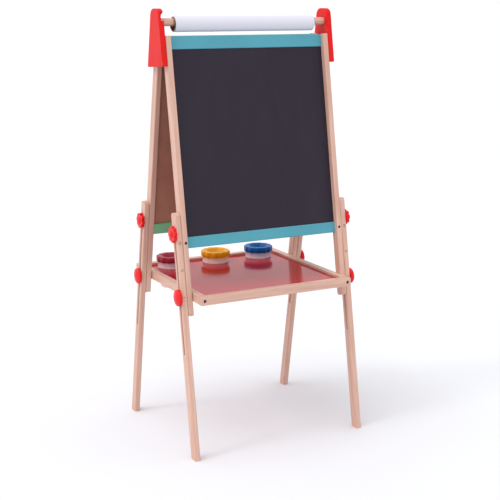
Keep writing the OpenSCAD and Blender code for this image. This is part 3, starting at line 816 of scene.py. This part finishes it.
class EASEL_OT_rails(Operator):
    """Teal and green painted board rails"""

    bl_idname = "easel.rails"
    bl_label = "Board rails"

    def execute(self, context):
        looks = palette()
        for end, tint in (("front", "teal"), ("rear", "green")):
            for level in ("top", "bottom"):
                finish_piece(f"{end}_{level}_rail", [looks[tint]], ACROSS,
                             context.scene.easel_sizes.wood_edge)
        return {"FINISHED"}


class EASEL_OT_boards(Operator):
    """Chalkboard and whiteboard with bare hardboard backs"""

    bl_idname = "easel.boards"
    bl_label = "Boards"

    def execute(self, context):
        looks = palette()
        for node, out, tint, slot in (("chalkboard", FRONT_OUT, "slate", "chalkboard"),
                                      ("whiteboard", REAR_OUT, "white", "rear_board")):
            finish_piece(node, [looks[tint], looks["hardboard"]],
                         pick=lambda normal, spot, out=out: 0 if normal.dot(out) > FACING else 1)
        return {"FINISHED"}


class EASEL_OT_legs(Operator):
    """Sliding legs with burnt tally marks"""

    bl_idname = "easel.legs"
    bl_label = "Sliding legs"

    def execute(self, context):
        sizes, looks = context.scene.easel_sizes, palette()
        for end, along in (("front", FRONT_LEG), ("rear", REAR_LEG)):
            for side in ("left", "right"):
                leg = f"leg_{end}_{side}"
                finish_piece(leg, [looks["beech"]], along, sizes.wood_edge)
                self.strokes(leg, along, sizes, looks)
        return {"FINISHED"}

    def strokes(self, leg, along, sizes, looks):
        """Fills the grooves of a leg's tally marks, found from its lower stud."""
        out = FRONT_OUT if along is FRONT_LEG else REAR_OUT
        low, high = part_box(leg)
        stud_low, stud_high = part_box(leg.replace("leg_", "stud_lower_"))
        stud = (stud_low + stud_high) / 2
        face = max(out.dot(v.co) for v in frame["nodes"][leg].data.vertices)
        spot = Vector(((low.x + high.x) / 2, stud.y, stud.z))
        spot += out * (face - out.dot(spot) - TALLY_SUNK)
        turn = Matrix((ACROSS, -out, along)).transposed().to_4x4()
        obj = grow(add_object(f"{leg}_tallies", bpy.data.meshes.new("strokes")),
                   tally_tree(looks["burnt"]),
                   {"Stroke Width": sizes.stroke_width, "Stroke Height": sizes.stroke_height,
                    "Stroke Pitch": sizes.stroke_pitch, "Tally Step": sizes.stroke_step},
                   f"{leg}_tallies")
        obj.data.transform(Matrix.Translation(spot) @ turn)
        if turn.determinant() < 0:
            obj.data.flip_normals()
        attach(obj, leg)


class EASEL_OT_knobs(Operator):
    """Eight red hand knobs on zinc plated studs"""

    bl_idname = "easel.knobs"
    bl_label = "Hand knobs"

    def execute(self, context):
        sizes, looks = context.scene.easel_sizes, palette()
        for level in ("upper", "lower"):
            for end in ("front", "rear"):
                for side in ("left", "right"):
                    place = f"{level}_{end}_{side}"
                    finish_piece(f"knob_{place}", [looks["knob"]],
                                 edge=sizes.knob_edge)
                    coat_node(f"stud_{place}", looks["zinc"])
        for node in ("front_post_inserts", "rear_post_inserts", "tray_inserts"):
            coat_node(node, looks["brass"])
        return {"FINISHED"}


class EASEL_OT_screws(Operator):
    """Bronzed countersunk screws with a cross recess"""

    bl_idname = "easel.screws"
    bl_label = "Screws"

    def execute(self, context):
        sizes, looks = context.scene.easel_sizes, palette()
        tree = screw_tree(looks["bronzed"])
        for node, aims, (head, shank) in (
                ("front_rail_screws", [FRONT_OUT], RAIL_SCREW),
                ("rear_rail_screws", [REAR_OUT], RAIL_SCREW),
                ("tray_screws", [DEEP, -DEEP], TRAY_SCREW)):
            places, (long, radius) = screw_places(node, aims)
            mesh = bpy.data.meshes.new(node)
            mesh.from_pydata([spot for spot, _ in places], [], [])
            aim = mesh.attributes.new("aim", "FLOAT_VECTOR", "POINT")
            aim.data.foreach_set("vector", [c for _, way in places for c in way])
            obj = grow(add_object(f"{node}_finished", mesh), tree,
                       {"Head Radius": radius, "Shank Radius": shank, "Head Height": head,
                        "Length": long, "Recess Width": sizes.recess_width,
                        "Recess Depth": sizes.recess_depth}, node)
            smooth(obj.data)
            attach(obj, frame["nodes"][node]["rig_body"])
            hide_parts(node)
        return {"FINISHED"}


class EASEL_OT_tray(Operator):
    """Tray of beech rails round a red lacquered panel"""

    bl_idname = "easel.tray"
    bl_label = "Tray"

    def execute(self, context):
        sizes, looks = context.scene.easel_sizes, palette()
        for node, along in (("tray_front_rail", ACROSS), ("tray_rear_rail", ACROSS),
                            ("tray_left_rail", DEEP), ("tray_right_rail", DEEP)):
            finish_piece(node, [looks["beech"]], along, sizes.wood_edge)
        finish_piece("tray_panel", [looks["tray"]], edge=sizes.wood_edge)
        return {"FINISHED"}


class EASEL_OT_pots(Operator):
    """Paint pots: milky cups and scalloped lids with a funnel"""

    bl_idname = "easel.pots"
    bl_label = "Paint pots"

    def execute(self, context):
        looks, colours = palette(), context.scene.easel_colours
        for side, tint in (("left", "red"), ("middle", "yellow"), ("right", "blue")):
            # Each cup gets a painted show-through of its lid's colour between the tray panel and
            # the lid's skirt
            cup = milky_cup(f"Milky polypropylene, {side}", tuple(colours.cup),
                            tuple(getattr(colours, f"lid_{tint}")),
                            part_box("tray_panel")[1].z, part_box(f"lid_{side}")[1].z - LID_SKIRT)
            finish_piece(f"cup_{side}", [cup], edge=CUP_EDGE)
            self.lid(side, tint, context.scene.easel_sizes.lid_scallop, looks)
        return {"FINISHED"}

    def lid(self, side, tint, scallop, looks):
        """A lid turned from its section, with scalloped skirt and fluted funnel."""
        low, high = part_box(f"lid_{side}")
        cup_low, cup_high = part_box(f"cup_{side}")
        centre = (low + high) / 2
        outer, top = (high.x - low.x) / 2, high.z
        bore = (cup_high.x - cup_low.x) / 2 + LID_GAP
        skirt, under = top - LID_SKIRT, top - LID_PLATE
        mouth, wall, hole = FUNNEL_MOUTH, FUNNEL_WALL, FUNNEL_HOLE
        # Section: radius, height, share of the scallops, share of the flutes
        section = [
            (bore, skirt, 0, 0), (outer - 0.8 * MM, skirt, 1, 0),
            (outer, skirt + 0.8 * MM, 1, 0), (outer, top - 2.5 * MM, 1, 0),
            (outer - 0.35 * MM, top - 1.3 * MM, 1, 0), (outer - 1.2 * MM, top - 0.35 * MM, 1, 0),
            (outer - 2.5 * MM, top, 0.8, 0), (mouth + 4.2 * MM, top, 0, 0.5),
            (mouth + 3.4 * MM, top - 0.9 * MM, 0, 0.8), (mouth + 2.4 * MM, top - 0.9 * MM, 0, 1),
            (mouth + 1.6 * MM, top, 0, 1), (mouth + 0.7 * MM, top - 0.1 * MM, 0, 1),
            (mouth, top - 0.7 * MM, 0, 1), (mouth - 3 * MM, top - 4.5 * MM, 0, 0.9),
            (mouth - 9 * MM, top - 12 * MM, 0, 0.6), (hole, low.z + 0.6 * MM, 0, 0),
            (hole + 0.6 * MM, low.z, 0, 0), (hole + wall, low.z, 0, 0),
            (mouth - 8 * MM, top - 13.5 * MM, 0, 0.6), (mouth + wall, under, 0, 0.3),
            (bore, under, 0, 0),
        ]
        verts, faces, count = [], [], len(section)
        for k in range(LID_STEPS):
            turn = 2 * math.pi * k / LID_STEPS
            outer_dip = scallop * (0.5 - 0.5 * math.cos(SCALLOPS * turn))
            inner_dip = scallop * FLUTE_SHARE * (0.5 - 0.5 * math.cos(FLUTES * turn))
            for radius, height, share, flute in section:
                r = radius - share * outer_dip - flute * inner_dip
                verts.append((centre.x + r * math.cos(turn), centre.y + r * math.sin(turn),
                              height))
            for j in range(count):
                near, far = k * count, (k + 1) % LID_STEPS * count
                after = (j + 1) % count
                faces.append((near + j, far + j, far + after, near + after))
        mesh = bpy.data.meshes.new(f"lid_{side}_finished")
        mesh.from_pydata(verts, [], faces)
        smooth(mesh, LID_SHARP)
        obj = add_object(mesh.name, mesh, [looks[f"lid_{tint}"]])
        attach(obj, f"lid_{side}")
        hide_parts(f"lid_{side}")


class EASEL_OT_paper(Operator):
    """Dowel, cardboard core and roll of drawing paper"""

    bl_idname = "easel.paper"
    bl_label = "Paper roll"

    def execute(self, context):
        sizes, looks = context.scene.easel_sizes, palette()
        finish_piece("dowel", [looks["beech"]], ACROSS, sizes.wood_edge)
        finish_piece("paper_core", [looks["cardboard"]], edge=CORE_EDGE)
        self.roll(sizes.paper_step, looks)
        return {"FINISHED"}

    def roll(self, step, looks):
        """Paper wound in one long spiral: its free edge is a step along the roll."""
        low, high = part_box("paper_roll")
        core_low, core_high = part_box("paper_core")
        centre = (low + high) / 2
        outer, inner = (high.z - low.z) / 2, (core_high.z - core_low.z) / 2
        layers = int((outer - inner) / PAPER_LAYER)
        # Across an end the windings lie a little deep and a little deeper by turns
        winding = [(inner + (outer - step - PAPER_TURNED - inner) * i / layers,
                    PAPER_BACK if i % 2 else PAPER_PROUD) for i in range(layers + 1)]
        # Section from one end to the other: place along the roll, radius, part of the skin
        rows = [(low.x + depth, radius, 0) for radius, depth in winding]
        skin_low, skin_high = low.x + SKIN_INSET, high.x - SKIN_INSET
        for i in range(ROLL_STATIONS + 1):
            share = i / ROLL_STATIONS
            slack = PAPER_SAG * (1 - math.cos(share * PAPER_RIPPLES * math.pi))
            rows.append((skin_low + (skin_high - skin_low) * share, outer - step - slack, 1))
        rows += [(high.x - depth, radius, 0) for radius, depth in reversed(winding)]
        verts, faces, count = [], [], len(rows)
        for k in range(ROLL_STEPS):
            turn = FREE_EDGE + 2 * math.pi * k / ROLL_STEPS
            # The last sheet ends where the spiral drops back to the sheet below
            rise = step * k / (ROLL_STEPS - 1)
            for x, radius, skin in rows:
                r = radius + (rise if skin else 0)
                verts.append((x, centre.y + r * math.cos(turn), centre.z + r * math.sin(turn)))
            for j in range(count):
                near, far = k * count, (k + 1) % ROLL_STEPS * count
                after = (j + 1) % count
                faces.append((near + j, near + after, far + after, far + j))
        mesh = bpy.data.meshes.new("paper_roll_finished")
        mesh.from_pydata(verts, [], faces)
        bm = bmesh.new()
        bm.from_mesh(mesh)
        bmesh.ops.recalc_face_normals(bm, faces=bm.faces)
        bm.to_mesh(mesh)
        bm.free()
        smooth(mesh)
        obj = add_object(mesh.name, mesh, [looks["paper"]])
        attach(obj, "paper")
        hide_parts("paper_roll")


class EASEL_OT_stage(Operator):
    """Pale floor, soft studio light and the camera"""

    bl_idname = "easel.stage"
    bl_label = "Stage"

    def execute(self, context):
        scene, half = context.scene, context.scene.easel_sizes.floor_half
        mesh = bpy.data.meshes.new("studio_floor")
        mesh.from_pydata([(-half, -half, 0), (half, -half, 0), (half, half, 0),
                          (-half, half, 0)], [], [(0, 1, 2, 3)])
        floor = add_object("studio_floor", mesh, [palette()["floor"]])

        world = bpy.data.worlds.new("Studio")
        world.use_nodes = True
        world.node_tree.nodes["Background"].inputs["Color"].default_value = (1, 1, 1, 1)
        world.node_tree.nodes["Background"].inputs["Strength"].default_value = 1.0
        scene.world = world

        for name, energy, angle, way in LAMPS:
            light = bpy.data.lights.new(name, "SUN")
            light.energy, light.angle, light.color = energy, angle, LAMP_COLOUR
            lamp = bpy.data.objects.new(name, light)
            scene.collection.objects.link(lamp)
            lamp.rotation_euler = Vector(way).to_track_quat("-Z", "Y").to_euler()

        lens = bpy.data.cameras.new("Studio camera")
        lens.sensor_width, lens.lens = CAMERA_SENSOR, CAMERA_LENS
        camera = bpy.data.objects.new("Studio camera", lens)
        scene.collection.objects.link(camera)
        camera.location, camera.rotation_euler = CAMERA_PLACE, CAMERA_TURN
        scene.camera = camera
        scene.view_settings.view_transform = "Standard"
        scene.view_settings.look = "None"
        return {"FINISHED"}


class EASEL_PT_panel(Panel):
    """Lists the easel's pieces in the order they are finished"""

    bl_idname = "EASEL_PT_panel"
    bl_label = "Folding Easel"
    bl_space_type = "VIEW_3D"
    bl_region_type = "UI"
    bl_category = "Easel"

    def draw(self, context):
        for group in (context.scene.easel_sizes, context.scene.easel_colours):
            column = self.layout.column()
            for name in group.bl_rna.properties.keys():
                if name not in ("rna_type", "name"):
                    column.prop(group, name)
        for step in STEPS:
            self.layout.operator(step.bl_idname)


STEPS = (
    EASEL_OT_head_plates, EASEL_OT_posts, EASEL_OT_rails, EASEL_OT_boards, EASEL_OT_legs,
    EASEL_OT_knobs, EASEL_OT_screws, EASEL_OT_tray, EASEL_OT_pots, EASEL_OT_paper,
    EASEL_OT_stage,
)
CLASSES = (EaselSizes, EaselColours, *STEPS, EASEL_PT_panel)


def register():
    for item in CLASSES:
        bpy.utils.register_class(item)
    bpy.types.Scene.easel_sizes = PointerProperty(type=EaselSizes)
    bpy.types.Scene.easel_colours = PointerProperty(type=EaselColours)


def unregister():
    del bpy.types.Scene.easel_colours
    del bpy.types.Scene.easel_sizes
    for item in reversed(CLASSES):
        bpy.utils.unregister_class(item)


def main():
    register()
    for step in STEPS:
        group, name = step.bl_idname.split(".")
        getattr(getattr(bpy.ops, group), name)()


if __name__ == "__main__":
    main()
